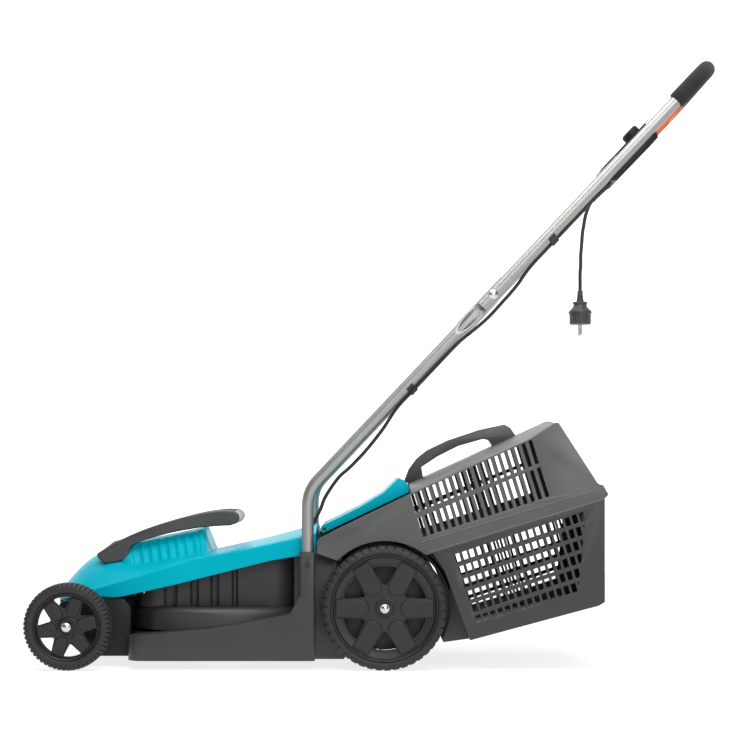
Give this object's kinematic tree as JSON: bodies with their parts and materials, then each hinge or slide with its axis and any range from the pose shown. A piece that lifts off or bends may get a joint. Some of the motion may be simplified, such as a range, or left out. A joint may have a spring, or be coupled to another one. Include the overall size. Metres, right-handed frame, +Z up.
{
  "type": "rotary lawn mower",
  "caption": "Corded walk-behind rotary mower with a round blade deck, folding tube handle with start lever, sliding grass box under a hinged flap, and rolling wheels.",
  "frame": {"origin": "on the ground, at the middle of the machine's length and width, without the plug lead", "axes": "+Z up, +X towards the operator behind the mower, +Y to the operator's right-hand side"},
  "size_m": [1.146, 0.3988, 1.0133],
  "materials": {
    "deck_plastic": "moulded, slight sheen",
    "dark_plastic": "moulded, satin",
    "black_plastic": "moulded, satin",
    "lid_plastic": "moulded, slight sheen",
    "turquoise_plastic": "glossy",
    "orange_plastic": "glossy",
    "tube_steel": "silver powder coat",
    "bright_steel": "zinc plated",
    "blade_steel": "ground edge",
    "soft_rubber": "matt",
    "tyre_rubber": "matt",
    "foam": "fine closed-cell foam",
    "cable_rubber": "satin",
    "pin_brass": "nickel plated",
    "copper": "wound wire",
    "cream_plastic": "moulded"
  },
  "bodies": {
    "mower": {"deck_housing": "deck_plastic", "front_nose": "deck_plastic", "motor_tower": "dark_plastic", "motor_cover": "turquoise_plastic", "carry_handle": "deck_plastic", "cover_screws": "bright_steel", "front_axle_bracket": "dark_plastic", "rear_axle_bracket": "dark_plastic", "front_axle": "bright_steel", "rear_axle": "bright_steel", "axle_nuts": "bright_steel", "motor_can": "bright_steel", "drive_belt": "soft_rubber", "capacitor": "cream_plastic", "spindle_bearings": "bright_steel", "lower_tube_left": "tube_steel", "lower_tube_right": "tube_steel", "tube_screws": "bright_steel", "fold_bolts": "bright_steel", "motor_cable_lower": "cable_rubber", "cable_clips_lower": "black_plastic", "flap_hinge_pin": "bright_steel"},
    "front_left_wheel": {"front_left_rim": "black_plastic", "front_left_tyre": "tyre_rubber"},
    "front_right_wheel": {"front_right_rim": "black_plastic", "front_right_tyre": "tyre_rubber"},
    "rear_left_wheel": {"rear_left_rim": "black_plastic", "rear_left_tyre": "tyre_rubber"},
    "rear_right_wheel": {"rear_right_rim": "black_plastic", "rear_right_tyre": "tyre_rubber"},
    "blade_rotor": {"blade_spindle": "bright_steel", "spindle_pulley": "black_plastic", "blade_carrier": "black_plastic", "blade": "blade_steel", "blade_bolt": "bright_steel"},
    "motor_shaft": {"motor_rotor": "copper", "motor_pulley": "bright_steel", "cooling_fan": "black_plastic"},
    "left_wing_nut": {"wing_nut_left": "black_plastic"},
    "right_wing_nut": {"wing_nut_right": "black_plastic"},
    "upper_handle": {"upper_handle_tube": "tube_steel", "foam_grip": "foam", "switch_base": "dark_plastic", "switch_cover": "dark_plastic", "button_spring": "bright_steel", "micro_switch": "black_plastic", "lever_bearing": "black_plastic", "strain_relief": "cable_rubber", "plug_lead": "cable_rubber", "plug_body": "cable_rubber", "plug_pins": "pin_brass", "motor_cable_upper": "cable_rubber", "cable_clip_upper": "black_plastic"},
    "lever": {"start_lever": "orange_plastic"},
    "button": {"lock_button": "dark_plastic"},
    "grass_box": {"box_basket": "deck_plastic", "box_lid": "lid_plastic", "box_handle": "dark_plastic", "box_clips": "black_plastic"},
    "flap": {"rear_flap": "turquoise_plastic"}
  },
  "joints": [
    {"name": "front_left_wheel_spin", "type": "hinge", "parent": "mower", "child": "front_left_wheel", "pos_m": [-0.50102, -0.176, 0.072], "axis": [0, 1, 0], "continuous": true},
    {"name": "front_right_wheel_spin", "type": "hinge", "parent": "mower", "child": "front_right_wheel", "pos_m": [-0.50102, 0.176, 0.072], "axis": [0, 1, 0], "continuous": true},
    {"name": "rear_left_wheel_spin", "type": "hinge", "parent": "mower", "child": "rear_left_wheel", "pos_m": [0.01998, -0.174, 0.1025], "axis": [0, 1, 0], "continuous": true},
    {"name": "rear_right_wheel_spin", "type": "hinge", "parent": "mower", "child": "rear_right_wheel", "pos_m": [0.01998, 0.174, 0.1025], "axis": [0, 1, 0], "continuous": true},
    {"name": "blade_spin", "type": "hinge", "parent": "mower", "child": "blade_rotor", "pos_m": [-0.25002, 0, 0.08], "axis": [0, 0, 1], "continuous": true},
    {"name": "motor_spin", "type": "hinge", "parent": "mower", "child": "motor_shaft", "pos_m": [-0.33802, 0, 0.15], "axis": [0, 0, 1], "continuous": true},
    {"name": "left_wing_nut_turn", "type": "hinge", "parent": "mower", "child": "left_wing_nut", "pos_m": [0.19874, -0.148, 0.61833], "axis": [0, 1, 0], "continuous": true},
    {"name": "right_wing_nut_turn", "type": "hinge", "parent": "mower", "child": "right_wing_nut", "pos_m": [0.19874, 0.148, 0.61833], "axis": [0, 1, 0], "continuous": true},
    {"name": "handle_fold", "type": "hinge", "parent": "mower", "child": "upper_handle", "pos_m": [0.19874, 0, 0.61833], "axis": [0, -1, 0], "range_deg": [0, 150]},
    {"name": "lever_pull", "type": "hinge", "parent": "upper_handle", "child": "lever", "pos_m": [0.42838, 0, 0.85535], "axis": [0, -1, 0], "range_deg": [0, 12], "stiffness_Nm_per_rad": 1, "springref_deg": -5.73},
    {"name": "button_press", "type": "slide", "parent": "upper_handle", "child": "button", "axis": [0.7266, 0, -0.6871], "range_m": [0, 0.005], "stiffness_N_per_m": 200, "springref_m": -0.003},
    {"name": "box_slide", "type": "slide", "parent": "mower", "child": "grass_box", "axis": [0.848, 0, 0.53], "range_m": [0, 0.3]},
    {"name": "flap_lift", "type": "hinge", "parent": "mower", "child": "flap", "pos_m": [-0.08002, 0, 0.231], "axis": [0, -1, 0], "range_deg": [0, 82]}
  ],
  "couplings": [
    {"joint": "motor_spin", "follows": "blade_spin", "ratio": 5},
    {"joint": "flap_lift", "follows": "box_slide", "rad_per_m": 4.6542}
  ]
}
